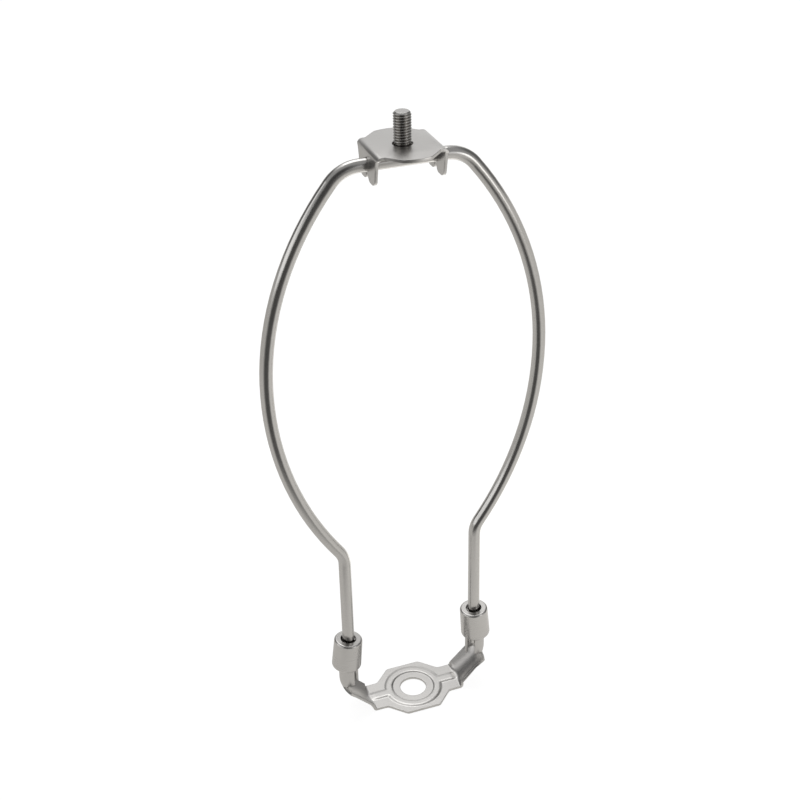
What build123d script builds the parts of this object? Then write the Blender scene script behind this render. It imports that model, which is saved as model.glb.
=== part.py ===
from build123d import *
from math import atan2, cos, degrees, radians, sin, sqrt, tan
import os

# A lamp harp: a sprung wire loop that stands in a stamped saddle, is locked there by two
# sliding sleeves, and carries a swivelling bracket with a threaded stud for the finial.
# Millimetres. The loop lies in the XZ plane. The origin is on the pipe hole's axis, at the
# saddle's underside.

# Harp loop
harp_height = 241.3          # saddle's underside to the bracket's top face, a 9 1/2 in harp
wire_dia = 4.8               # 3/16 in wire with its plating
top_flat_half = 15.6         # half of the straight run under the bracket
corner_radius = 13.1         # bends beside the bracket, to the wire's centre line
widest_half_width = 52.6     # centre line, at the widest point
widest_height = 155.4
leg_half_spacing = 27.3      # centre line of each straight leg
leg_bend_radius = 10.3
leg_bend_height = 74.1       # where the straight leg starts
wire_end_chamfer = 0.4

# Bracket over the wire
bracket_sheet = 1.1
bracket_span = 25.4          # 1 in across the outsides of the two flanges
bracket_rise = 5.55          # wire's centre line up to the plate's top face
lobe_radius = 15.8           # round front and back of the plate
lobe_corner_reach = 20.0     # x plus y where the lobes' corners are cut at 45 degrees
lobe_half_width = 9.7
tab_half_width = 10.3        # half of the plate's depth at its folds
fold_outer_radius = 2.0
shoulder_half_width = 9.3    # half of a flange's width just below its fold
waist_half_width = 8.4       # at the height of the wire
prong_length = 11.0          # from the plate's top face to the prongs' tips
tip_half_width = 7.2
tip_radius = 2.6
prong_gap = 2.0              # between two prongs, pinched in below the wire
prong_gap_radius = 2.0
wire_running_clearance = 0.08
sheet_edge_radius = 0.25

# Finial stud
stud_dia = 6.2               # over a 1/4-27 thread
stud_length = 11.1           # above the plate
stud_chamfer = 0.7
thread_relief_dia = 5.4      # plain neck under the thread, through the plate
thread_start = 0.3           # above the plate
stud_hole_clearance = 0.45   # all round the stud, in the plate
stud_head_dia = 12.0
stud_head_thickness = 1.75
stud_head_clearance = 0.1    # over the wire

# Saddle
saddle_sheet = 1.0
pipe_hole_radius = 5.5       # passes a 1/8 IP nipple
plate_half_depth = 13.8
plate_end_half_width = 7.1   # half of the straight front and back edges
arm_half_width = 7.25
ridge_inner_radius = 8.75
ridge_outer_radius = 12.1
ridge_height = 0.9
bead_half_width = 2.2
bead_height = 0.8
bead_end = 17.0              # where the arms' beads end
arm_bend = 20.0              # where the arms turn up, on the sheet's middle
arm_bend_radius = 3.5
arm_angle = 43.0
trough_curl = 10.0           # the troughs' radius, on the sheet's middle
corner_curl = 22.0           # flatter where the arms turn up into the necks
neck_bend_radius = 12.0
neck_offset = 0.55           # the necks stand this far outside the legs
neck_outer_radius = 4.0
neck_length = 18.1           # straight part
front_wing = 6.1             # sheet curled round each neck's front, from its spine
back_wing = 14.2             # sheet curled round its back, nearly to the front wing
notch_share = 0.55           # how far up the bend the necks' wings start
notch_rise = 58.0            # slope of the wings' lower edges

# Sleeves
sleeve_length = 13.4
sleeve_top_radius = 5.75
sleeve_belly_radius = 6.0
sleeve_rim_radius = 5.5
sleeve_taper_height = 1.1
sleeve_wall = 0.85
sleeve_rim_wall = 0.5
lip_hole_clearance = 0.8     # round the wire
lip_flat_radius = 4.85
lip_thickness = 1.0
left_sleeve_lean = 6.0       # the loose sleeves' feet stand outwards by these degrees
right_sleeve_lean = 4.0
seat_gap = 0.05              # from the lip's underside to the neck's end
wire_insertion = 16.5        # how far the legs reach below the necks' ends

# Worked out from the sizes above
wire_radius = wire_dia / 2
top_z = harp_height - bracket_rise
neck_mid_radius = neck_outer_radius - saddle_sheet / 2
neck_x = leg_half_spacing + neck_offset
neck_spine_x = neck_x + neck_mid_radius
sheet_mid = saddle_sheet / 2
neck_corner_z = sheet_mid + (neck_spine_x - arm_bend) * tan(radians(arm_angle))
neck_base_z = neck_corner_z + neck_bend_radius * tan(radians(90 - arm_angle) / 2)
neck_top_z = neck_base_z + neck_length
wire_end_z = neck_top_z - wire_insertion


def loop_half():
    """Draws half of the loop's centre line, from the middle of the top to a leg's end.
    The two long arcs meet at the widest point, and their radii follow from the bends."""
    dx_up = widest_half_width - top_flat_half
    dz_up = top_z - corner_radius - widest_height
    upper_radius = (dx_up**2 + dz_up**2 - corner_radius**2) / (2 * (dx_up - corner_radius))
    dx_low = widest_half_width - leg_half_spacing - leg_bend_radius
    dz_low = widest_height - leg_bend_height
    lower_radius = (dx_low**2 + dz_low**2 - leg_bend_radius**2) / (2 * (dx_low + leg_bend_radius))
    upper_angle = degrees(atan2(dz_up, top_flat_half - widest_half_width + upper_radius))
    lower_angle = degrees(atan2(dz_low, lower_radius - dx_low))
    Line((0, top_z), (top_flat_half, top_z))
    CenterArc((top_flat_half, top_z - corner_radius), corner_radius, 90, upper_angle - 90)
    CenterArc((widest_half_width - upper_radius, widest_height), upper_radius, upper_angle, -upper_angle)
    CenterArc((widest_half_width - lower_radius, widest_height), lower_radius, 0, -lower_angle)
    bend_centre = (leg_half_spacing + leg_bend_radius, leg_bend_height)
    CenterArc(bend_centre, leg_bend_radius, 180 - lower_angle, lower_angle)
    Line((leg_half_spacing, leg_bend_height), (leg_half_spacing, wire_end_z))


# Harp wire: one bent rod
with BuildPart() as harp_wire:
    with BuildLine(Plane.XZ) as loop:
        loop_half()
        mirror(about=Plane.YZ)
    with BuildSketch(Plane((leg_half_spacing, 0, wire_end_z), x_dir=(1, 0, 0), z_dir=(0, 0, 1))):
        Circle(wire_radius)
    sweep(path=loop.wires()[0])
    chamfer(harp_wire.faces().group_by(Axis.Z)[0].edges(), wire_end_chamfer)
harp_wire.part.label = "harp_wire"


# Top bracket: one piece of sheet, folded down over the wire, with two prongs on each side
def flange_side():
    """One edge of a flange, from the plate's top face down to the middle of its foot."""
    return [
        (0, harp_height),
        (tab_half_width, harp_height),
        (tab_half_width, harp_height - bracket_sheet),
        (shoulder_half_width, harp_height - fold_outer_radius),
        (waist_half_width, top_z),
        (tip_half_width, harp_height - prong_length),
        (0, harp_height - prong_length),
    ]


with BuildPart() as top_bracket:
    with BuildSketch(Plane.XZ) as channel:
        with Locations((0, harp_height)):
            Rectangle(bracket_span, prong_length, align=(Align.CENTER, Align.MAX))
        fillet(channel.vertices().group_by(Axis.Y)[-1], fold_outer_radius)
        inner_span = bracket_span - 2 * bracket_sheet
        with Locations((0, harp_height - bracket_sheet)):
            Rectangle(inner_span, prong_length, align=(Align.CENTER, Align.MAX), mode=Mode.SUBTRACT)
        inner_corners = channel.vertices().filter_by(
            lambda v: abs(abs(v.X) - inner_span / 2) < 0.01 and v.Y > top_z
        )
        fillet(inner_corners, fold_outer_radius - bracket_sheet)
    extrude(amount=tab_half_width, both=True)
    with BuildSketch(Plane.YZ) as flange:
        with BuildLine():
            Polyline(*flange_side())
            mirror(about=Plane.YZ)
        make_face()
        fillet(flange.vertices().group_by(Axis.Y)[0], tip_radius)
        with Locations((0, top_z)):
            Circle(wire_radius + wire_running_clearance, mode=Mode.SUBTRACT)
            Rectangle(
                prong_gap, prong_length, align=(Align.CENTER, Align.MAX), mode=Mode.SUBTRACT
            )
        inner_tips = flange.vertices().group_by(Axis.Y)[0].filter_by(lambda v: abs(v.X) < prong_gap)
        fillet(inner_tips, prong_gap_radius)
    extrude(amount=bracket_span, both=True, mode=Mode.INTERSECT)
    with BuildSketch(Plane.XY.offset(harp_height - bracket_sheet)):
        Circle(lobe_radius)
        Rectangle(2 * lobe_half_width, 2 * lobe_radius, mode=Mode.INTERSECT)
        corner_square = lobe_corner_reach * sqrt(2)
        Rectangle(corner_square, corner_square, rotation=45, mode=Mode.INTERSECT)
    extrude(amount=bracket_sheet)
    with Locations((0, 0, harp_height)):
        Hole(stud_dia / 2 + stud_hole_clearance)
top_bracket.part.label = "top_bracket"

# Finial stud: its head is trapped between the plate and the wire
with BuildPart() as finial_stud:
    head_z = top_z + wire_radius + stud_head_clearance
    stud_top_z = harp_height + stud_length
    with Locations((0, 0, head_z)):
        Cylinder(stud_head_dia / 2, stud_head_thickness, align=(Align.CENTER, Align.CENTER, Align.MIN))
    chamfer(finial_stud.edges().group_by(Axis.Z)[-1], sheet_edge_radius)
    with Locations((0, 0, head_z)):
        Cylinder(
            thread_relief_dia / 2, stud_top_z - head_z, align=(Align.CENTER, Align.CENTER, Align.MIN)
        )
    thread_z = harp_height + thread_start
    with Locations((0, 0, thread_z)):
        Cylinder(stud_dia / 2, stud_top_z - thread_z, align=(Align.CENTER, Align.CENTER, Align.MIN))
    chamfer(finial_stud.edges().group_by(Axis.Z)[-1], stud_chamfer)
finial_stud.part.label = "finial_stud"


# Saddle: one stamped sheet, with a raised ridge round the pipe hole, a bead along each arm,
# and arms that curl into troughs and then into open necks round the legs
def segment_radius(half_width, height):
    """The radius of a round ridge of this half width and height."""
    return (half_width**2 + height**2) / (2 * height)


def strip_section(x, z, direction, mid_radius, front, back):
    """Draws a cut across an arm's sheet, square to its direction. The sheet is curled to
    mid_radius and reaches this far round to the front and to the back from its spine."""
    facing = radians(direction)
    plane = Plane(
        (x, 0, z), x_dir=(-sin(facing), 0, cos(facing)), z_dir=(cos(facing), 0, sin(facing))
    )
    middle = (front - back) / 2

    def at(radius, length):
        angle = length / mid_radius
        return (mid_radius - radius * cos(angle), radius * sin(angle))

    outer = mid_radius + saddle_sheet / 2
    inner = mid_radius - saddle_sheet / 2
    with BuildSketch(plane) as section:
        with BuildLine():
            ThreePointArc(at(outer, -back), at(outer, middle), at(outer, front))
            Line(at(outer, front), at(inner, front))
            ThreePointArc(at(inner, front), at(inner, middle), at(inner, -back))
            Line(at(inner, -back), at(outer, -back))
        make_face()
    return section.sketch


def on_bend(corner_x, corner_z, radius, start, turn, share):
    """A point and its direction on a bend between two straight runs of an arm's middle."""
    reach = radius * tan(radians(turn) / 2)
    start_x = corner_x - reach * cos(radians(start))
    start_z = corner_z - reach * sin(radians(start))
    centre_x = start_x - radius * sin(radians(start))
    centre_z = start_z + radius * cos(radians(start))
    direction = start + turn * share
    x = centre_x + radius * sin(radians(direction))
    z = centre_z - radius * cos(radians(direction))
    return x, z, direction


def on_neck_bend(share):
    """A point and its direction on the bend from a trough to its neck."""
    return on_bend(
        neck_spine_x, neck_corner_z, neck_bend_radius, arm_angle, 90 - arm_angle, share
    )


def arm_section(place, curl):
    """A cut across the arm's own strip, as wide to the front as to the back."""
    return strip_section(*place, curl, arm_half_width, arm_half_width)


def neck_section(share):
    """A cut across a neck's wings, from their start on the bend (0) to the closed tube (1)."""
    curvature = (1 - share) / corner_curl + share / neck_mid_radius
    place = on_neck_bend(notch_share + (1 - notch_share) * share)
    return strip_section(*place, 1 / curvature, front_wing, back_wing)


ridge_mid = (ridge_inner_radius + ridge_outer_radius) / 2
ridge_radius = segment_radius((ridge_outer_radius - ridge_inner_radius) / 2, ridge_height)
bead_radius = segment_radius(bead_half_width, bead_height)
bend_start = on_bend(arm_bend, sheet_mid, arm_bend_radius, 0, arm_angle, 0)[0]


def raised_form(shrink):
    """The ridge's and the beads' round form, less shrink for its hollow underside."""
    with BuildPart() as form:
        with BuildSketch(Plane.XZ):
            with Locations((ridge_mid, saddle_sheet + ridge_height - ridge_radius)):
                Circle(ridge_radius - shrink)
        revolve(axis=Axis.Z)
        bead_z = saddle_sheet + bead_height - bead_radius
        bead_straight = bead_end - bead_half_width
        for side in (-1, 1):
            with BuildSketch(Plane.YZ.offset(side * ridge_mid)):
                with Locations((0, bead_z)):
                    Circle(bead_radius - shrink)
            extrude(amount=side * (bead_straight - ridge_mid))
            with Locations((side * bead_straight, 0, bead_z)):
                Sphere(bead_radius - shrink)
    return form.part


fold = [
    on_bend(arm_bend, sheet_mid, arm_bend_radius, 0, arm_angle, share) for share in (0, 0.5, 1)
]
notch_place = on_neck_bend(notch_share)
with BuildPart() as trough:
    fold_curls = (100 * arm_half_width, 3 * trough_curl, 1.3 * trough_curl)
    loft(sections=[arm_section(place, curl) for place, curl in zip(fold, fold_curls)])
    loft(
        sections=[arm_section(fold[2], fold_curls[2]), arm_section(on_neck_bend(0), trough_curl)],
        ruled=True,
    )
    loft(
        sections=[
            arm_section(on_neck_bend(0), trough_curl),
            arm_section(on_neck_bend(notch_share / 2), 1.25 * trough_curl),
            arm_section(notch_place, corner_curl),
        ]
    )

with BuildPart() as neck:
    wing_sections = [neck_section(quarter / 4) for quarter in range(5)]
    loft(sections=wing_sections)
    extrude(to_extrude=wing_sections[-1].face(), amount=neck_length)
    rim_depth = corner_curl * (1 - cos(arm_half_width / corner_curl))
    notch_direction = radians(notch_place[2])
    notch_x = notch_place[0] - (rim_depth + saddle_sheet) * sin(notch_direction)
    notch_z = notch_place[1] + (rim_depth + saddle_sheet) * cos(notch_direction)
    split(
        bisect_by=Plane(
            (notch_x, 0, notch_z), z_dir=(sin(radians(notch_rise)), 0, cos(radians(notch_rise)))
        ),
        keep=Keep.TOP,
    )

with BuildPart() as saddle:
    with BuildSketch():
        with BuildLine():
            corner_x = plate_end_half_width + plate_half_depth - arm_half_width
            Polyline(
                (0, plate_half_depth),
                (plate_end_half_width, plate_half_depth),
                (corner_x, arm_half_width),
                (bend_start, arm_half_width),
                (bend_start, 0),
            )
            mirror(about=Plane.XZ)
            mirror(about=Plane.YZ)
        make_face()
    extrude(amount=saddle_sheet)
    upper_half = Box(
        4 * bend_start, 4 * bend_start, 4 * ridge_height,
        align=(Align.CENTER, Align.CENTER, Align.MIN), mode=Mode.PRIVATE,
    )
    add(raised_form(0) & Pos(0, 0, saddle_sheet / 2) * upper_half)
    add(raised_form(saddle_sheet), mode=Mode.SUBTRACT)
    with Locations((0, 0, saddle_sheet)):
        Hole(pipe_hole_radius)
    for piece in (trough.part, neck.part):
        add(piece)
        add(piece.mirror(Plane.YZ))
saddle.part.label = "saddle"


# Sleeves: drawn cups with a turned-in lip, loose on the legs and the necks
def sleeve(side, lean_angle, name):
    """A sleeve on the right (1) or the left (-1) leg, its foot leaning outwards."""
    lean = radians(lean_angle) * side
    lip_underside_z = neck_top_z + seat_gap + neck_outer_radius * tan(radians(lean_angle))
    top = (side * leg_half_spacing, 0, lip_underside_z + lip_thickness * cos(lean))
    up = (-sin(lean), 0, cos(lean))
    profile_plane = Plane(top, x_dir=(cos(lean), 0, sin(lean)), z_dir=(0, -1, 0))
    hole_radius = wire_radius + lip_hole_clearance
    bore_radius = sleeve_belly_radius - sleeve_wall
    bore_top_radius = sleeve_top_radius - sleeve_wall
    rim_hole_radius = sleeve_rim_radius - sleeve_rim_wall
    lip_round = sleeve_top_radius - lip_flat_radius
    taper_z = sleeve_taper_height - sleeve_length
    with BuildPart() as cup:
        with BuildSketch(profile_plane):
            with BuildLine():
                Line((hole_radius, -lip_thickness), (hole_radius, 0))
                Line((hole_radius, 0), (lip_flat_radius, 0))
                RadiusArc((lip_flat_radius, 0), (sleeve_top_radius, -lip_round), lip_round)
                Line((sleeve_top_radius, -lip_round), (sleeve_belly_radius, taper_z))
                RadiusArc(
                    (sleeve_belly_radius, taper_z), (sleeve_rim_radius, -sleeve_length),
                    1.3 * sleeve_taper_height,
                )
                Line((sleeve_rim_radius, -sleeve_length), (rim_hole_radius, -sleeve_length))
                RadiusArc(
                    (rim_hole_radius, -sleeve_length), (bore_radius, taper_z),
                    -1.3 * sleeve_taper_height,
                )
                Line((bore_radius, taper_z), (bore_top_radius, -lip_thickness))
                Line((bore_top_radius, -lip_thickness), (hole_radius, -lip_thickness))
            make_face()
        revolve(axis=Axis(top, up))
    cup.part.label = name
    return cup.part


left_sleeve = sleeve(-1, left_sleeve_lean, "left_sleeve")
right_sleeve = sleeve(1, right_sleeve_lean, "right_sleeve")

os.makedirs("parts", exist_ok=True)
for piece in (harp_wire.part, top_bracket.part, finial_stud.part, saddle.part, left_sleeve, right_sleeve):
    export_step(piece, f"parts/{piece.label}.step")
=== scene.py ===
"""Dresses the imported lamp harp: satin nickel on every piece, a stamped saddle, a threaded
stud and a small studio."""

from math import atan2, cos, degrees, hypot, pi, radians, sin, tan, tau

import bmesh
import bpy
from mathutils import Matrix, Vector


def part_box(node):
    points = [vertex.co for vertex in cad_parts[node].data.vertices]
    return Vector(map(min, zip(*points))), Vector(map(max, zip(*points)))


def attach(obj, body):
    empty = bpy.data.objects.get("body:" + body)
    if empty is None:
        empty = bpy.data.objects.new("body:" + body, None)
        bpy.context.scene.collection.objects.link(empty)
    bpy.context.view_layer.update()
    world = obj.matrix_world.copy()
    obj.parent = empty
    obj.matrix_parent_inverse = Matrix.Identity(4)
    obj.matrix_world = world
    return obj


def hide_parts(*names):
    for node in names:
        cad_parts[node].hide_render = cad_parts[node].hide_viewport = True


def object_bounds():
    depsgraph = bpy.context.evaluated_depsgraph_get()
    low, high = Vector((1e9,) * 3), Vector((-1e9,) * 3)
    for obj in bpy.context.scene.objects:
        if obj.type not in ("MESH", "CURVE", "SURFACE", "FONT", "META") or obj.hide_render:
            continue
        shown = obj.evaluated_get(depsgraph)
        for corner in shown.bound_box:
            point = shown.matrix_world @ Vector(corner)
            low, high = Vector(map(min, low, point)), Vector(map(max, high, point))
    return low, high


bl_info = {
    "name": "Lamp Harp",
    "version": (1, 0, 0),
    "blender": (4, 5, 0),
    "location": "3D View > Sidebar > Lamp Harp",
    "description": "Satin nickel finishes, a stamped saddle, a threaded stud and a studio",
    "category": "Object",
}

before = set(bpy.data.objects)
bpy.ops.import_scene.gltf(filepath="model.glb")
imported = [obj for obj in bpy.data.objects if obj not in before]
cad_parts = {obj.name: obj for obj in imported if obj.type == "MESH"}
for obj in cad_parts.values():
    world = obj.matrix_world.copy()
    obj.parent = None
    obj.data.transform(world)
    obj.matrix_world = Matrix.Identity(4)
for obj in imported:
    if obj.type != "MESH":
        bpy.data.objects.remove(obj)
cad_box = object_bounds()
stud_low, stud_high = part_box("finial_stud")
mm = 0.001


class Wired:
    """A node's output, so that sums on it read as Python and add their Math nodes."""

    def __init__(self, recipe, socket):
        self.recipe = recipe
        self.socket = socket

    def __add__(self, other):
        return self.recipe.maths("ADD", self, other)

    __radd__ = __add__

    def __sub__(self, other):
        return self.recipe.maths("SUBTRACT", self, other)

    def __rsub__(self, other):
        return self.recipe.maths("SUBTRACT", other, self)

    def __mul__(self, other):
        return self.recipe.maths("MULTIPLY", self, other)

    __rmul__ = __mul__

    def __truediv__(self, other):
        return self.recipe.maths("DIVIDE", self, other)

    def __rtruediv__(self, other):
        return self.recipe.maths("DIVIDE", other, self)

    def __pow__(self, other):
        return self.recipe.maths("POWER", self, other)

    def __abs__(self):
        return self.recipe.maths("ABSOLUTE", self)

    def least(self, other):
        return self.recipe.maths("MINIMUM", self, other)

    def most(self, other):
        return self.recipe.maths("MAXIMUM", self, other)

    def step(self, start, end):
        """0 below start, 1 above end and a smooth rise between them."""
        return self.recipe.add(
            "ShaderNodeMapRange",
            {"interpolation_type": "SMOOTHSTEP"},
            {"Value": self, "From Min": start, "From Max": end},
        )


class Recipe:
    """One node tree, whose nodes all come from add()."""

    def __init__(self, tree):
        self.tree = tree
        tree.nodes.clear()

    def add(self, kind, settings=None, inputs=None, output=0):
        node = self.tree.nodes.new(kind)
        for name, value in (settings or {}).items():
            setattr(node, name, value)
        for key, value in (inputs or {}).items():
            socket = node.inputs[key]
            if isinstance(value, Wired):
                self.tree.links.new(value.socket, socket)
            else:
                socket.default_value = value
        return Wired(self, node.outputs[output]) if node.outputs else node

    def maths(self, operation, *values):
        return self.add("ShaderNodeMath", {"operation": operation}, dict(enumerate(values)))

    def parts(self, vector):
        """The three numbers of a vector."""
        split = self.add("ShaderNodeSeparateXYZ", inputs={"Vector": vector})
        return [Wired(self, socket) for socket in split.socket.node.outputs]

    def point(self, x, y, z):
        return self.add("ShaderNodeCombineXYZ", inputs={"X": x, "Y": y, "Z": z})

    def blend(self, factor, one, two):
        """Colour one where the factor is 0 and colour two where it is 1."""
        return self.add(
            "ShaderNodeMix",
            {"data_type": "RGBA", "clamp_factor": True},
            {0: factor, 6: one, 7: two},
            output=2,
        )

    def noise(self, place, scale, detail, rough):
        return self.add(
            "ShaderNodeTexNoise",
            inputs={"Vector": place, "Scale": scale, "Detail": detail, "Roughness": rough},
        )


# Shares of the plating's colour in its dullest and its brightest patches.
dull_share, bright_share = 0.86, 1.1
# How the brushing and the pits add up in the surface.
grain_part, pit_part = 0.85, 0.15


def satin_nickel(name, colour, roughness, grain_place, grain_height, wear, groove_shade=None):
    """A plated and brushed finish. grain_place(recipe, position) gives the coordinates
    that the brushing's fine grain is read at, so that it can run round a turned piece.
    wear is how far the blur varies over the piece. The groove argument, when given, is painted
    shade laid down in a thread: its dark colour, its root and crest radius and the height
    where its end begins."""
    material = bpy.data.materials.new(name)
    material.use_nodes = True
    recipe = Recipe(material.node_tree)
    position = recipe.add("ShaderNodeTexCoord", output=3)
    grain = recipe.noise(grain_place(recipe, position), 1.0, 3.0, 0.6)
    cloud = recipe.noise(position, 60.0, 2.0, 0.5)
    pits = recipe.noise(position, 1500.0, 2.0, 0.6)
    tone = (cloud - 0.5) * 0.5 + (grain - 0.5) * 0.5
    dullest = tuple(dull_share * part for part in colour) + (1.0,)
    brightest = tuple(min(1.0, bright_share * part) for part in colour) + (1.0,)
    base = recipe.blend(tone + 0.5, dullest, brightest)
    # Painted shade down in a thread: the dark colour fills the grooves below the crests, and
    # the crests and the top end keep the plain nickel.
    if groove_shade:
        painted_shade, root, crest, end = groove_shade
        x, y, z = recipe.parts(position)
        raised = ((x * x + y * y) ** 0.5).step(root, crest)
        unshaded = raised.most(z.step(end - 0.2 * mm, end))
        base = recipe.blend(unshaded, painted_shade[:] + (1.0,), base)
    rounded = recipe.add("ShaderNodeBevel", {"samples": 6}, {"Radius": 0.3 * mm})
    bump = recipe.add(
        "ShaderNodeBump",
        inputs={
            "Strength": 1.0,
            "Distance": grain_height,
            "Height": grain * grain_part + pits * pit_part,
            "Normal": rounded,
        },
    )
    finish = recipe.add(
        "ShaderNodeBsdfPrincipled",
        inputs={
            "Metallic": 1.0,
            "Base Color": base,
            "Roughness": (cloud - 0.5) * wear + (grain - 0.5) * wear + roughness,
            "Normal": bump,
        },
    )
    recipe.add("ShaderNodeOutputMaterial", inputs={"Surface": finish})
    return material


def all_ways(scale):
    """Grain that runs no particular way, as tumbling leaves it."""

    def place(recipe, position):
        return recipe.add(
            "ShaderNodeVectorMath", {"operation": "SCALE"}, {0: position, "Scale": scale}
        )

    return place


def along_x(scale, stretch):
    """Grain brushed from side to side."""

    def place(recipe, position):
        x, y, z = recipe.parts(position)
        return recipe.point(x * (scale / stretch), y * scale, z * scale)

    return place


def round_axis(centre_x, scale, stretch):
    """Grain turned round an upright axis at centre_x, on a piece of about 6 mm radius."""
    turned_radius = 6 * mm

    def place(recipe, position):
        x, y, z = recipe.parts(position)
        turn = recipe.maths("ARCTAN2", y, x - centre_x)
        reach = ((x - centre_x) * (x - centre_x) + y * y) ** 0.5
        return recipe.point(turn * (turned_radius * scale / stretch), reach * scale, z * scale)

    return place


class HarpFinish(bpy.types.PropertyGroup):
    """Colours, textures and worn edges of the plated metal."""

    colour: bpy.props.FloatVectorProperty(
        name="Nickel",
        description="Colour of the plating",
        subtype="COLOR",
        default=(0.625, 0.612, 0.594),
        min=0.0,
        max=1.0,
    )
    # Painted shade: the dark colour laid into the stud's thread grooves, standing in for the
    # shade down in them.
    thread_shade_colour: bpy.props.FloatVectorProperty(
        name="Stud",
        description="Dull colour down in the stud's thread",
        subtype="COLOR",
        default=(0.27, 0.255, 0.236),
        min=0.0,
        max=1.0,
    )
    wire_roughness: bpy.props.FloatProperty(
        name="Wire Roughness",
        description="How blurred the wire's reflections are",
        default=0.2,
        subtype="FACTOR",
        min=0.0,
        max=1.0,
    )
    sheet_roughness: bpy.props.FloatProperty(
        name="Sheet Roughness",
        description="Blur of the stamped pieces",
        default=0.33,
        subtype="FACTOR",
        min=0.0,
        max=1.0,
    )
    sleeve_roughness: bpy.props.FloatProperty(
        name="Sleeve Roughness",
        description="Blur of the drawn sleeves",
        default=0.28,
        subtype="FACTOR",
        min=0.0,
        max=1.0,
    )
    stud_roughness: bpy.props.FloatProperty(
        name="Stud Roughness",
        description="Blur of the threaded stud",
        default=0.25,
        subtype="FACTOR",
        min=0.0,
        max=1.0,
    )
    grain_height: bpy.props.FloatProperty(
        name="Grain Height",
        description="Depth of the brushed grain",
        default=0.004 * mm,
        unit="LENGTH",
        precision=6,
    )
    edge: bpy.props.FloatProperty(
        name="Edge",
        description="Rounding of the stamped sheets' cut edges",
        default=0.2 * mm,
        unit="LENGTH",
        precision=5,
    )


class HarpSaddle(bpy.types.PropertyGroup):
    """Sizes of the stamped saddle."""

    sheet: bpy.props.FloatProperty(
        name="Sheet",
        description="Thickness of the sheet",
        default=1.0 * mm,
        unit="LENGTH",
        precision=5,
    )
    raised: bpy.props.FloatProperty(
        name="Raised",
        description="Height of the ridge and the beads",
        default=0.42 * mm,
        unit="LENGTH",
        precision=5,
    )
    ridge_inner: bpy.props.FloatProperty(
        name="Ridge Inner",
        description="Radius of the ridge's inner foot",
        default=8.6 * mm,
        unit="LENGTH",
        precision=5,
    )
    ridge_outer: bpy.props.FloatProperty(
        name="Ridge Outer",
        description="Radius of the ridge's outer foot",
        default=12.3 * mm,
        unit="LENGTH",
        precision=5,
    )
    bead_half_width: bpy.props.FloatProperty(
        name="Bead Half Width",
        description="Half the width of the bead along each arm",
        default=2.4 * mm,
        unit="LENGTH",
        precision=5,
    )
    bead_end: bpy.props.FloatProperty(
        name="Bead End",
        description="Where the beads fade, from the middle",
        default=20.0 * mm,
        unit="LENGTH",
        precision=5,
    )


class HarpStud(bpy.types.PropertyGroup):
    """Sizes of the threaded stud."""

    diameter: bpy.props.FloatProperty(
        name="Diameter",
        description="Over the thread",
        default=6.2 * mm,
        unit="LENGTH",
        precision=5,
    )
    pitch: bpy.props.FloatProperty(
        name="Pitch",
        description="One turn of a thread of 27 to the inch",
        default=25.4 * mm / 27,
        unit="LENGTH",
        precision=5,
    )
    depth: bpy.props.FloatProperty(
        name="Thread Depth",
        description="From crest to root",
        default=0.55 * mm,
        unit="LENGTH",
        precision=5,
    )
    chamfer: bpy.props.FloatProperty(
        name="Chamfer",
        description="At the top end",
        default=0.7 * mm,
        unit="LENGTH",
        precision=5,
    )
    head_thickness: bpy.props.FloatProperty(
        name="Head Thickness",
        description="Of the head under the plate",
        default=1.75 * mm,
        unit="LENGTH",
        precision=5,
    )
    relief: bpy.props.FloatProperty(
        name="Relief",
        description="Length of the plain neck under the thread",
        default=1.4 * mm,
        unit="LENGTH",
        precision=5,
    )
    relief_diameter: bpy.props.FloatProperty(
        name="Relief Diameter",
        description="Across the plain neck",
        default=5.4 * mm,
        unit="LENGTH",
        precision=5,
    )
    head_edge: bpy.props.FloatProperty(
        name="Head Edge",
        description="Chamfer of the head's edges",
        default=0.2 * mm,
        unit="LENGTH",
        precision=5,
    )


class HarpStage(bpy.types.PropertyGroup):
    """The camera and the light."""

    azimuth: bpy.props.FloatProperty(
        name="Azimuth",
        description="Camera's turn round the harp",
        default=radians(-19.0082),
        subtype="ANGLE",
    )
    elevation: bpy.props.FloatProperty(
        name="Elevation",
        description="Camera's angle above the floor",
        default=radians(30.8928),
        subtype="ANGLE",
    )
    roll: bpy.props.FloatProperty(
        name="Roll",
        description="Camera's tilt in the picture",
        default=radians(-1.3047),
        subtype="ANGLE",
    )
    distance: bpy.props.FloatProperty(
        name="Distance",
        description="From the camera to its target",
        default=0.493668,
        unit="LENGTH",
    )
    target: bpy.props.FloatVectorProperty(
        name="Target",
        description="Point in the middle of the picture",
        default=(-0.002946, 0.0, 0.142795),
        subtype="TRANSLATION",
    )
    lens: bpy.props.FloatProperty(
        name="Lens",
        description="Focal length",
        default=60.32,
        unit="CAMERA",
    )
    dark_side: bpy.props.FloatProperty(
        name="Dark Side",
        description="Direction of the room's unlit side, clockwise from the back",
        default=radians(-157),
        subtype="ANGLE",
    )


def paint(node_name, material):
    """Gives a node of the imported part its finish."""
    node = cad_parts[node_name]
    node.data.materials.clear()
    node.data.materials.append(material)


def new_piece(name, mesh=None):
    piece = bpy.data.objects.new(name, mesh or bpy.data.meshes.new(name))
    bpy.context.scene.collection.objects.link(piece)
    return piece


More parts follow.
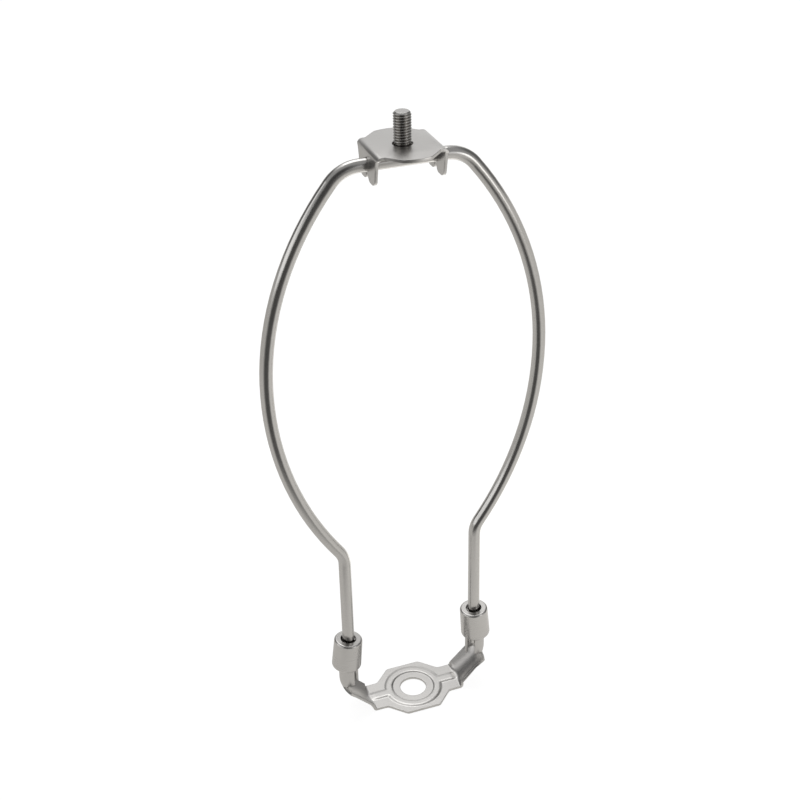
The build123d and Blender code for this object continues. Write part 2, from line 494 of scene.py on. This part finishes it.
def whole_faces(node_name):
    """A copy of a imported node's mesh, welded and with its flat faces made whole."""
    bm = bmesh.new()
    bm.from_mesh(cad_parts[node_name].data)
    bmesh.ops.remove_doubles(bm, verts=bm.verts, dist=0.002 * mm)
    bmesh.ops.dissolve_limit(bm, angle_limit=radians(1), verts=bm.verts, edges=bm.edges)
    bmesh.ops.recalc_face_normals(bm, faces=bm.faces)
    mesh = bpy.data.meshes.new(node_name + "_copy")
    bm.to_mesh(mesh)
    bm.free()
    return mesh


def round_edges(piece, width, angle):
    """Rounds the edges that turn by more than angle degrees."""
    modifier = piece.modifiers.new("Edges", "BEVEL")
    modifier.width = width
    modifier.segments = 3
    modifier.limit_method = "ANGLE"
    modifier.angle_limit = radians(angle)


def finish_mesh(piece):
    """Keeps the result of the piece's modifiers as its plain mesh."""
    graph = bpy.context.evaluated_depsgraph_get()
    made = bpy.data.meshes.new_from_object(piece.evaluated_get(graph))
    piece.modifiers.clear()
    piece.data = made


def shade(piece, sharp_angle):
    """Smooth shading, apart from the edges that turn by more than sharp_angle degrees."""
    piece.data.shade_smooth()
    piece.data.set_sharp_from_angle(angle=radians(sharp_angle))


class LAMPHARP_OT_wire(bpy.types.Operator):
    """Gives the sprung wire loop its drawn and plated finish"""

    bl_idname = "lamp_harp.wire"
    bl_label = "Finish the Wire"

    def execute(self, context):
        look = context.scene.harp_finish
        finish = satin_nickel(
            "loop_nickel",
            look.colour,
            look.wire_roughness,
            all_ways(900.0),
            look.grain_height,
            wear=0.06,
        )
        paint("harp_wire", finish)
        return {"FINISHED"}


class LAMPHARP_OT_bracket(bpy.types.Operator):
    """Rounds the top bracket's cut edges and gives it its plated finish"""

    bl_idname = "lamp_harp.bracket"
    bl_label = "Finish the Bracket"

    def execute(self, context):
        look = context.scene.harp_finish
        bracket = new_piece("bracket_sheet", whole_faces("top_bracket"))
        round_edges(bracket, look.edge, 40)
        finish_mesh(bracket)
        finish = satin_nickel(
            "bracket_nickel",
            look.colour,
            look.sheet_roughness,
            along_x(1800.0, 12.0),
            look.grain_height,
            wear=0.08,
        )
        bracket.data.materials.clear()
        bracket.data.materials.append(finish)
        shade(bracket, 35)
        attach(bracket, "bracket")
        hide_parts("top_bracket")
        return {"FINISHED"}


class LAMPHARP_OT_sleeves(bpy.types.Operator):
    """Gives the two locking sleeves their turned and plated finish"""

    bl_idname = "lamp_harp.sleeves"
    bl_label = "Finish the Sleeves"

    def execute(self, context):
        look = context.scene.harp_finish
        for side in ("left", "right"):
            low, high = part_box(f"{side}_sleeve")
            finish = satin_nickel(
                f"{side}_sleeve_nickel",
                look.colour,
                look.sleeve_roughness,
                round_axis((low[0] + high[0]) / 2, 3000.0, 40.0),
                look.grain_height * 0.4,
                wear=0.05,
            )
            paint(f"{side}_sleeve", finish)
        return {"FINISHED"}


# The saddle's plan and arms on the middle of the sheet, in millimetres and degrees.
hole_radius = 5.5
plate_half_depth = 13.8
plate_end_half_width = 7.1
arm_half_width = 7.25
arm_bend, arm_bend_radius, arm_angle = 20.0, 3.5, 43.0
neck_spine, neck_bend_radius = 31.35, 12.0
neck_radius, neck_length = 3.5, 18.1
front_wing, back_wing = 6.7, 11.0
# Radius of an arm's curl at its fold, up the trough and, flatter again, below the neck.
fold_curl, trough_curl, flare_curl, corner_curl = 13, 10, 12.5, 22
# How far the ridge and the beads take to rise, to fall and to fade.
ridge_rise, ridge_fall, bead_fall, bead_fade = 0.7, 1.4, 1.3, 3.2

# The mesh's steps along an arm's fold, trough, upper bend and neck, across an arm, out
# from the pipe hole, and along the outline in millimetres, with its rounds of smoothing.
fold_steps, trough_steps, bend_steps, neck_steps = 8, 16, 24, 30
columns = 40
plate_rings = 48
outline_step, outline_rounds = 0.45, 3
# The neck's wings start at this step of the bend, over a slit that leaves the middle
# columns whole. A notch some bands high takes off the front wing's lower corner.
slit_step, slit_column = 14, 4
notch_column, notch_bands = 11, 3


def smooth(value, start, end):
    """0 up to start, 1 from end on and a smooth rise between them."""
    share = min(1.0, max(0.0, (value - start) / (end - start)))
    return share * share * (3 - 2 * share)


def between(value, stops):
    """Reads a line of (place, value) stops at a place."""
    for (low, first), (high, last) in zip(stops, stops[1:]):
        if value <= high:
            return first + (last - first) * max(0.0, value - low) / (high - low)
    return stops[-1][1]


def on_bend(corner, radius, start, turn, share):
    """A point and its direction on a bend between two straight runs of an arm's spine."""
    reach = radius * tan(radians(turn) / 2)
    centre_x = corner[0] - reach * cos(radians(start)) - radius * sin(radians(start))
    centre_z = corner[1] - reach * sin(radians(start)) + radius * cos(radians(start))
    facing = radians(start + turn * share)
    return centre_x + radius * sin(facing), centre_z - radius * cos(facing), facing


def arm_stations(sheet):
    """Places along an arm's spine, from the plate's edge to the neck's top: x, z, direction,
    the sheet's curl there and how far it reaches round to the front and to the back."""
    spine_rise = (neck_spine - arm_bend) * tan(radians(arm_angle))
    fold_corner = (arm_bend, sheet / 2)
    neck_corner = (neck_spine, sheet / 2 + spine_rise)
    neck_turn = 90 - arm_angle
    widths = (arm_half_width, arm_half_width)
    stations = []
    for i in range(fold_steps + 1):
        place = on_bend(fold_corner, arm_bend_radius, 0, arm_angle, i / fold_steps)
        stations.append((*place, smooth(i, 0, fold_steps) / fold_curl, *widths))
    last_x, last_z, facing = place
    top_x, top_z, _ = on_bend(neck_corner, neck_bend_radius, arm_angle, neck_turn, 0)
    for i in range(1, trough_steps):
        share = i / trough_steps
        x, z = last_x + (top_x - last_x) * share, last_z + (top_z - last_z) * share
        curl = 1 / fold_curl + (1 / trough_curl - 1 / fold_curl) * share
        stations.append((x, z, facing, curl, *widths))
    for i in range(bend_steps + 1):
        x, z, facing = on_bend(
            neck_corner, neck_bend_radius, arm_angle, neck_turn, i / bend_steps
        )
        if i < slit_step:
            stops = [(0, 1 / trough_curl), (0.5, 1 / flare_curl), (1, 1 / corner_curl)]
            stations.append((x, z, facing, between(i / slit_step, stops), *widths))
        else:
            radius = neck_radius - (neck_spine - x) / 2
            front, back = front_wing * radius / neck_radius, back_wing * radius / neck_radius
            stations.append((x, z, pi / 2, 1 / radius, front, back))
    base_z = stations[-1][1]
    for i in range(1, neck_steps + 1):
        z = base_z + neck_length * i / neck_steps
        stations.append((neck_spine, z, pi / 2, 1 / neck_radius, front_wing, back_wing))
    return stations


def plate_outline(edge_x):
    """The plate's outline in millimetres, anticlockwise from the right arm's front corner.
    The arms' ends have a point for each of their columns, and the plate's corners are worn."""
    arm_end = [(edge_x, arm_half_width * (2 * i / columns - 1)) for i in range(columns + 1)]
    shoulder = plate_end_half_width + plate_half_depth - arm_half_width
    corners = [
        (edge_x, arm_half_width),
        (shoulder, arm_half_width),
        (plate_end_half_width, plate_half_depth),
        (-plate_end_half_width, plate_half_depth),
        (-shoulder, arm_half_width),
        (-edge_x, arm_half_width),
    ]
    back = [corners[0]]
    for (x0, y0), (x1, y1) in zip(corners, corners[1:]):
        steps = round(hypot(x1 - x0, y1 - y0) / outline_step)
        for i in range(1, steps + 1):
            back.append((x0 + (x1 - x0) * i / steps, y0 + (y1 - y0) * i / steps))
    for _ in range(outline_rounds):
        inner = [
            ((x0 + 2 * x + x1) / 4, (y0 + 2 * y + y1) / 4)
            for (x0, y0), (x, y), (x1, y1) in zip(back, back[1:], back[2:])
        ]
        back = [back[0], *inner, back[-1]]
    half = arm_end[:-1] + back[:-1]
    return half + [(-x, -y) for x, y in half]


def stamped_height(size, x, y):
    """Height of the ridge and the beads over the flat sheet, in millimetres."""
    inner, outer = size.ridge_inner / mm, size.ridge_outer / mm
    bead, bead_end = size.bead_half_width / mm, size.bead_end / mm
    radius = hypot(x, y)
    ring = 1 - smooth(radius, outer - ridge_fall, outer)
    across = 1 - smooth(abs(y), bead - bead_fall, bead)
    along = 1 - smooth(abs(x), bead_end - bead_fade, bead_end)
    rise = smooth(radius, inner, inner + ridge_rise)
    return size.raised / mm * rise * (1 - (1 - ring) * (1 - across * along))


def add_plate(bm, size, outline):
    """The plate, as a row of points from the pipe hole out to each point of its outline."""
    plate = []
    for x, y in outline:
        turn, reach = atan2(y, x), hypot(x, y)
        row = []
        for i in range(plate_rings + 1):
            radius = hole_radius + (reach - hole_radius) * i / plate_rings
            px, py = radius * cos(turn), radius * sin(turn)
            z = size.sheet / mm / 2 + stamped_height(size, px, py)
            row.append(bm.verts.new((px * mm, py * mm, z * mm)))
        plate.append(row)
    for row, following in zip(plate, plate[1:] + plate[:1]):
        for i in range(plate_rings):
            bm.faces.new((row[i], row[i + 1], following[i + 1], following[i]))
    return plate


def add_arm(bm, size, side, stations, ends):
    """The arm and the neck on a side, 1 at the right and -1 at the left, from the plate's
    points at that arm's end."""
    length = stations[0][0]
    slit_band = fold_steps + trough_steps + slit_step - 1
    for band, (previous, station) in enumerate(zip(stations, stations[1:])):
        x, z, facing, curl, front, back = station
        length += hypot(x - previous[0], z - previous[1])
        row = []
        for j in range(columns + 1):
            share = 2 * j / columns - 1
            reach = share * (front if share > 0 else back)
            lift = (1 - cos(reach * curl)) / curl + stamped_height(size, length, reach)
            place = (
                side * (x - sin(facing) * lift) * mm,
                -sin(reach * curl) / curl * mm,
                (z + cos(facing) * lift) * mm,
            )
            row.append(bm.verts.new(place))
        for j in range(columns):
            outward = j + 0.5 - columns / 2
            in_slit = band == slit_band and abs(outward) > slit_column
            over_slit = slit_band < band <= slit_band + notch_bands
            if in_slit or (over_slit and outward > notch_column):
                continue
            corners = (ends[j + 1], row[j + 1], row[j], ends[j])
            bm.faces.new(corners if side == 1 else corners[::-1])
        ends = row


def saddle_mesh(size):
    """The middle of the saddle's sheet: the plate round its hole, and an arm on each side."""
    bm = bmesh.new()
    stations = arm_stations(size.sheet / mm)
    outline = plate_outline(stations[0][0])
    plate = add_plate(bm, size, outline)
    left = len(outline) // 2
    right_ends = [plate[columns - j][-1] for j in range(columns + 1)]
    left_ends = [plate[left + j][-1] for j in range(columns + 1)]
    add_arm(bm, size, 1, stations, right_ends)
    add_arm(bm, size, -1, stations, left_ends)
    mesh = bpy.data.meshes.new("saddle_sheet")
    bm.to_mesh(mesh)
    bm.free()
    return mesh


class LAMPHARP_OT_saddle(bpy.types.Operator):
    """Makes the stamped saddle in place of the plain one, with its plated finish"""

    bl_idname = "lamp_harp.saddle"
    bl_label = "Make the Saddle"

    def execute(self, context):
        look = context.scene.harp_finish
        size = context.scene.harp_saddle
        saddle = new_piece("saddle_sheet", saddle_mesh(size))
        wall = saddle.modifiers.new("Sheet", "SOLIDIFY")
        wall.thickness = size.sheet
        wall.offset = 0
        wall.use_even_offset = True
        round_edges(saddle, look.edge, 55)
        finish_mesh(saddle)
        finish = satin_nickel(
            "saddle_nickel",
            look.colour,
            look.sheet_roughness,
            along_x(1500.0, 10.0),
            look.grain_height,
            wear=0.08,
        )
        saddle.data.materials.append(finish)
        shade(saddle, 35)
        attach(saddle, "saddle")
        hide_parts("saddle")
        return {"FINISHED"}


# Points round the thread and along it, and the flat and the steepness of its crests.
thread_around, thread_rows = 73, 170
crest_flat, flank_steepness = 0.12, 1.3


def thread_tree():
    """Geometry nodes that roll a grid into a closed threaded rod standing on its base."""
    tree = bpy.data.node_groups.new("Stud Thread", "GeometryNodeTree")
    recipe = Recipe(tree)
    sizes = (
        ("Diameter", 6.2 * mm),
        ("Pitch", 0.94 * mm),
        ("Depth", 0.55 * mm),
        ("Length", 11 * mm),
        ("Chamfer", 0.7 * mm),
        ("Base", 235 * mm),
    )
    for name, value in sizes:
        socket = tree.interface.new_socket(name, in_out="INPUT", socket_type="NodeSocketFloat")
        socket.default_value = value
    finish = tree.interface.new_socket(
        "Finish", in_out="INPUT", socket_type="NodeSocketMaterial"
    )
    finish.description = "Material of the thread"
    tree.interface.new_socket("Geometry", in_out="OUTPUT", socket_type="NodeSocketGeometry")
    group = recipe.add("NodeGroupInput").socket.node
    given = {socket.name: Wired(recipe, socket) for socket in group.outputs}
    grid = recipe.add(
        "GeometryNodeMeshGrid",
        inputs={
            "Size X": 1.0,
            "Size Y": 1.0,
            "Vertices X": thread_around,
            "Vertices Y": thread_rows,
        },
    )
    x, y, _ = recipe.parts(recipe.add("GeometryNodeInputPosition"))
    turn = (x + 0.5) * tau
    row = (y + 0.5) * (thread_rows - 1)
    closed = row.least(thread_rows - 1 - row).least(1.0)
    height = ((row - 1) / (thread_rows - 3)).most(0.0).least(1.0) * given["Length"]
    phase = recipe.maths("FRACT", height / given["Pitch"] - (x + 0.5) + 20.0)
    slope = abs(phase - 0.5) * 2.0
    flank = ((slope - crest_flat) * flank_steepness).most(0.0).least(1.0)
    crest = given["Diameter"] * 0.5
    radius = crest - flank * given["Depth"]
    top_end = crest - given["Chamfer"] + given["Length"] - height
    foot_end = crest - given["Depth"] + height
    radius = radius.least(top_end).least(foot_end) * closed
    moved = recipe.add(
        "GeometryNodeSetPosition",
        inputs={
            "Geometry": grid,
            "Position": recipe.point(
                radius * recipe.maths("COSINE", turn),
                radius * recipe.maths("SINE", turn),
                height + given["Base"],
            ),
        },
    )
    welded = recipe.add(
        "GeometryNodeMergeByDistance", inputs={"Geometry": moved, "Distance": 0.001 * mm}
    )
    real = recipe.add("GeometryNodeRealizeInstances", inputs={"Geometry": welded})
    painted = recipe.add(
        "GeometryNodeSetMaterial", inputs={"Geometry": real, "Material": given["Finish"]}
    )
    recipe.add("NodeGroupOutput", inputs={"Geometry": painted})
    return tree


def grow(piece, tree, values):
    """Runs a geometry nodes tree on the piece and keeps its result as a plain mesh."""
    modifier = piece.modifiers.new("Nodes", "NODES")
    modifier.node_group = tree
    for item in tree.interface.items_tree:
        if item.in_out == "INPUT" and item.name in values:
            modifier[item.identifier] = values[item.name]
    finish_mesh(piece)
    return piece


def lathe(name, outline, steps=96):
    """A solid turned round the Z axis from (radius, z) points that start and end on it."""
    bm = bmesh.new()
    turns = [tau * i / steps for i in range(steps)]
    rings = []
    for radius, z in outline:
        if radius == 0:
            rings.append([bm.verts.new((0, 0, z))])
        else:
            rings.append([bm.verts.new((radius * cos(t), radius * sin(t), z)) for t in turns])
    for low, high in zip(rings, rings[1:]):
        for i in range(steps):
            j = (i + 1) % steps
            corners = [low[i % len(low)], low[j % len(low)]]
            corners += [high[j % len(high)], high[i % len(high)]]
            bm.faces.new(list(dict.fromkeys(corners)))
    bmesh.ops.recalc_face_normals(bm, faces=bm.faces)
    mesh = bpy.data.meshes.new(name)
    bm.to_mesh(mesh)
    bm.free()
    return mesh


class LAMPHARP_OT_stud(bpy.types.Operator):
    """Makes the headed stud, with a real thread, in place of the plain one"""

    bl_idname = "lamp_harp.stud"
    bl_label = "Make the Stud"

    def execute(self, context):
        size = context.scene.harp_stud
        look = context.scene.harp_finish
        crest = size.diameter / 2
        # The thread's grooves get painted shade: a dark colour below the crests, with the
        # crests and the top end left plain nickel.
        groove_shade = (look.thread_shade_colour, crest - size.depth, crest, stud_high[2] - size.chamfer)
        finish = satin_nickel(
            "stud_nickel",
            look.colour,
            look.stud_roughness,
            round_axis(0.0, 2500.0, 14.0),
            look.grain_height,
            wear=0.1,
            groove_shade=groove_shade,
        )
        head_low = stud_low[2]
        head_high = head_low + size.head_thickness
        foot = head_high + size.relief
        thread = grow(
            new_piece("stud_thread"),
            thread_tree(),
            {
                "Diameter": size.diameter,
                "Pitch": size.pitch,
                "Depth": size.depth,
                "Length": stud_high[2] - foot,
                "Chamfer": size.chamfer,
                "Base": foot,
                "Finish": finish,
            },
        )
        head_radius = (stud_high[0] - stud_low[0]) / 2
        edge = size.head_edge
        neck = size.relief_diameter / 2
        outline = [
            (0, head_low),
            (head_radius - edge, head_low),
            (head_radius, head_low + edge),
            (head_radius, head_high - edge),
            (head_radius - edge, head_high),
            (neck + edge, head_high),
            (neck, head_high + edge),
            (neck, foot + edge),
            (0, foot + edge),
        ]
        head = new_piece("stud_head", lathe("stud_head", outline))
        head.data.materials.append(finish)
        shade(thread, 35)
        shade(head, 30)
        for piece in (thread, head):
            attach(piece, "stud")
        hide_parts("finial_stud")
        return {"FINISHED"}


def area_light(name, place, aim, width, height, strength):
    """A soft box at place, turned to face aim. Strength is the light's own brightness."""
    lamp = bpy.data.lights.new(name, "AREA")
    lamp.shape = "RECTANGLE"
    lamp.size = width
    lamp.size_y = height
    lamp.energy = strength * pi * width * height
    lamp_object = bpy.data.objects.new(name, lamp)
    lamp_object.location = place
    toward = Vector(aim) - Vector(place)
    lamp_object.rotation_euler = toward.to_track_quat("-Z", "Y").to_euler()
    bpy.context.scene.collection.objects.link(lamp_object)


# The table as the metal sees it, a glow that stands in for the lit table: its warm grey, and
# the middle of a painted lamp shine on it.
table_glow_colour = (1.02, 1.0, 0.965, 1)
painted_shine_x, painted_shine_y = 0.11, 0.09


def floor_material(dark_side):
    """White to the camera, apart from the harp's faint shadow. In the metal it is a glowing
    warm grey table with painted light: painted shade towards dark_side, a painted glow
    brighter to the right and fading far off, and a painted shine of a lamp behind the harp."""
    material = bpy.data.materials.new("floor_white")
    material.use_nodes = True
    recipe = Recipe(material.node_tree)
    x, y, _ = recipe.parts(recipe.add("ShaderNodeTexCoord", output=3))
    reach = (x * x + y * y) ** 0.5
    toward = (x * sin(dark_side) + y * cos(dark_side)) / reach.most(0.001)
    # Painted shade on the table's glow towards dark_side.
    dark = toward.step(cos(radians(52)), cos(radians(18))) * reach.step(0.07, 0.2)
    # A painted shine: a pool of lamp light painted into the table's glow.
    from_painted_shine = ((x - painted_shine_x) * (x - painted_shine_x) + (y - painted_shine_y) * (y - painted_shine_y)) ** 0.5
    painted_shine = 1 - from_painted_shine.step(0.03, 0.1)
    # Painted light: the glow is brighter to the right and fades far off.
    level = 0.6 + x.step(-0.06, 0.1) * 0.12 - reach.step(0.2, 0.7) * 0.08
    level = level * (1 - dark * 0.88) + painted_shine * 0.85
    painted_table_glow = recipe.add(
        "ShaderNodeEmission", inputs={"Color": table_glow_colour, "Strength": level}
    )
    white = recipe.add("ShaderNodeEmission", inputs={"Strength": 0.88})
    cloth = recipe.add("ShaderNodeBsdfDiffuse", inputs={"Color": (0.3, 0.3, 0.3, 1)})
    seen = recipe.add("ShaderNodeAddShader", inputs={0: white, 1: cloth})
    path = recipe.add("ShaderNodeLightPath").socket.node
    glossy = Wired(recipe, path.outputs["Is Glossy Ray"])
    either = recipe.add("ShaderNodeMixShader", inputs={0: glossy, 1: seen, 2: painted_table_glow})
    recipe.add("ShaderNodeOutputMaterial", inputs={"Surface": either})
    return material


# The room as the metal sees it. Each soft box is a strength and the panels that make it
# up: azimuth (0 is +Y, 90 is +X), elevation, and the degrees within which the panel is
# whole and past which it is gone. The shades take their share of the light away.
room_level = 0.47
room_boxes = (
    (1.0, ((0, 62, 8, 32),)),
    (0.42, ((22, 15, 10, 32),)),
    (1.1, ((-118, 5, 5, 17), (-95, 8, 6, 18), (-74, 19, 7, 19))),
    (0.45, ((32, -2, 6, 22),)),
    (0.6, ((150, 8, 5, 20),)),
)
side_shades = (
    (0.6, ((78, 15, 14, 44),)),
    (0.7, ((-42, 16, 14, 32),)),
)
# Strength that brings the background's grey to the floor's white for the camera.
backdrop_strength = 1.23


def studio_world(dark_side):
    """A white room to the camera. In the metal it is a grey room with a wide pale panel
    overhead, strips at the left, behind and at the right, and dark on dark_side."""
    world = bpy.data.worlds.new("studio")
    bpy.context.scene.world = world
    world.use_nodes = True
    recipe = Recipe(world.node_tree)
    direction = recipe.add("ShaderNodeTexCoord", output=0)

    def glow(panels):
        """1 inside any of the panels, 0 away from all of them."""
        whole = None
        for azimuth, elevation, inner, outer in panels:
            turn, rise = radians(azimuth), radians(elevation)
            centre = (sin(turn) * cos(rise), cos(turn) * cos(rise), sin(rise))
            nearness = recipe.add(
                "ShaderNodeVectorMath",
                {"operation": "DOT_PRODUCT"},
                {0: direction, 1: centre},
                output=1,
            )
            share = nearness.step(cos(radians(outer)), cos(radians(inner)))
            whole = whole.most(share) if whole else share
        return whole

    dark_panels = ((degrees(dark_side), -20, 16, 42), (degrees(dark_side), 22, 16, 44))
    level = room_level
    for strength, panels in room_boxes:
        level = level + glow(panels) * strength
    for share, panels in ((0.85, dark_panels), *side_shades):
        level = level * (1 - glow(panels) * share)
    path = recipe.add("ShaderNodeLightPath").socket.node
    to_camera = Wired(recipe, path.outputs["Is Camera Ray"])
    strength = level * (1 - to_camera) + to_camera * backdrop_strength
    background = recipe.add("ShaderNodeBackground", inputs={"Strength": strength})
    recipe.add("ShaderNodeOutputWorld", inputs={"Surface": background})


def add_floor(dark_side, reach=20.0, gap=0.1 * mm):
    """A wide floor just under the harp."""
    z = cad_box[0][2] - gap
    corners = [(-reach, -reach, z), (reach, -reach, z), (reach, reach, z), (-reach, reach, z)]
    mesh = bpy.data.meshes.new("floor")
    mesh.from_pydata(corners, [], [(0, 1, 2, 3)])
    floor = new_piece("floor", mesh)
    mesh.materials.append(floor_material(dark_side))


def add_camera(shot):
    """A camera that looks at its target from the azimuth and elevation, tilted by the roll."""
    back = Vector(
        (
            sin(shot.azimuth) * cos(shot.elevation),
            -cos(shot.azimuth) * cos(shot.elevation),
            sin(shot.elevation),
        )
    )
    right = Vector((cos(shot.azimuth), sin(shot.azimuth), 0))
    up = back.cross(right)
    level_right = right * cos(shot.roll) + up * sin(shot.roll)
    level_up = up * cos(shot.roll) - right * sin(shot.roll)
    lens = bpy.data.cameras.new("camera")
    lens.lens = shot.lens
    lens.sensor_width = 36
    lens.clip_start = 0.01
    camera = bpy.data.objects.new("camera", lens)
    bpy.context.scene.collection.objects.link(camera)
    turn = Matrix((level_right, level_up, back)).transposed().to_4x4()
    camera.matrix_world = Matrix.Translation(Vector(shot.target) + back * shot.distance) @ turn
    bpy.context.scene.camera = camera


class LAMPHARP_OT_stage(bpy.types.Operator):
    """Sets the floor, the soft lights and the camera"""

    bl_idname = "lamp_harp.stage"
    bl_label = "Set the Stage"

    def execute(self, context):
        shot = context.scene.harp_stage
        add_floor(shot.dark_side)
        area_light("overhead", (0.1, 0.5, 1.2), (0, 0, 0.1), 0.7, 0.7, 1.0)
        area_light("right_strip", (0.215, -0.26, 0.21), (0.06, 0, 0.15), 0.08, 0.2, 1.3)
        studio_world(shot.dark_side)
        add_camera(shot)
        context.scene.view_settings.view_transform = "Standard"
        return {"FINISHED"}


class LAMPHARP_PT_panel(bpy.types.Panel):
    """Lists the harp's pieces and their settings"""

    bl_idname = "LAMPHARP_PT_panel"
    bl_label = "Lamp Harp"
    bl_space_type = "VIEW_3D"
    bl_region_type = "UI"
    bl_category = "Lamp Harp"

    def draw(self, context):
        for group_name, operators in (
            ("harp_finish", (LAMPHARP_OT_wire, LAMPHARP_OT_bracket, LAMPHARP_OT_sleeves)),
            ("harp_saddle", (LAMPHARP_OT_saddle,)),
            ("harp_stud", (LAMPHARP_OT_stud,)),
            ("harp_stage", (LAMPHARP_OT_stage,)),
        ):
            settings = getattr(context.scene, group_name)
            box = self.layout.box()
            for name in settings.__annotations__:
                box.prop(settings, name)
            for operator in operators:
                box.operator(operator.bl_idname)


classes = (
    HarpFinish,
    HarpSaddle,
    HarpStud,
    HarpStage,
    LAMPHARP_OT_wire,
    LAMPHARP_OT_bracket,
    LAMPHARP_OT_saddle,
    LAMPHARP_OT_sleeves,
    LAMPHARP_OT_stud,
    LAMPHARP_OT_stage,
    LAMPHARP_PT_panel,
)


def register():
    for cls in classes:
        bpy.utils.register_class(cls)
    bpy.types.Scene.harp_finish = bpy.props.PointerProperty(type=HarpFinish)
    bpy.types.Scene.harp_saddle = bpy.props.PointerProperty(type=HarpSaddle)
    bpy.types.Scene.harp_stud = bpy.props.PointerProperty(type=HarpStud)
    bpy.types.Scene.harp_stage = bpy.props.PointerProperty(type=HarpStage)


def unregister():
    del bpy.types.Scene.harp_stage
    del bpy.types.Scene.harp_stud
    del bpy.types.Scene.harp_saddle
    del bpy.types.Scene.harp_finish
    for cls in reversed(classes):
        bpy.utils.unregister_class(cls)


def main():
    register()
    bpy.ops.lamp_harp.wire()
    bpy.ops.lamp_harp.bracket()
    bpy.ops.lamp_harp.saddle()
    bpy.ops.lamp_harp.sleeves()
    bpy.ops.lamp_harp.stud()
    bpy.ops.lamp_harp.stage()


if __name__ == "__main__":
    main()
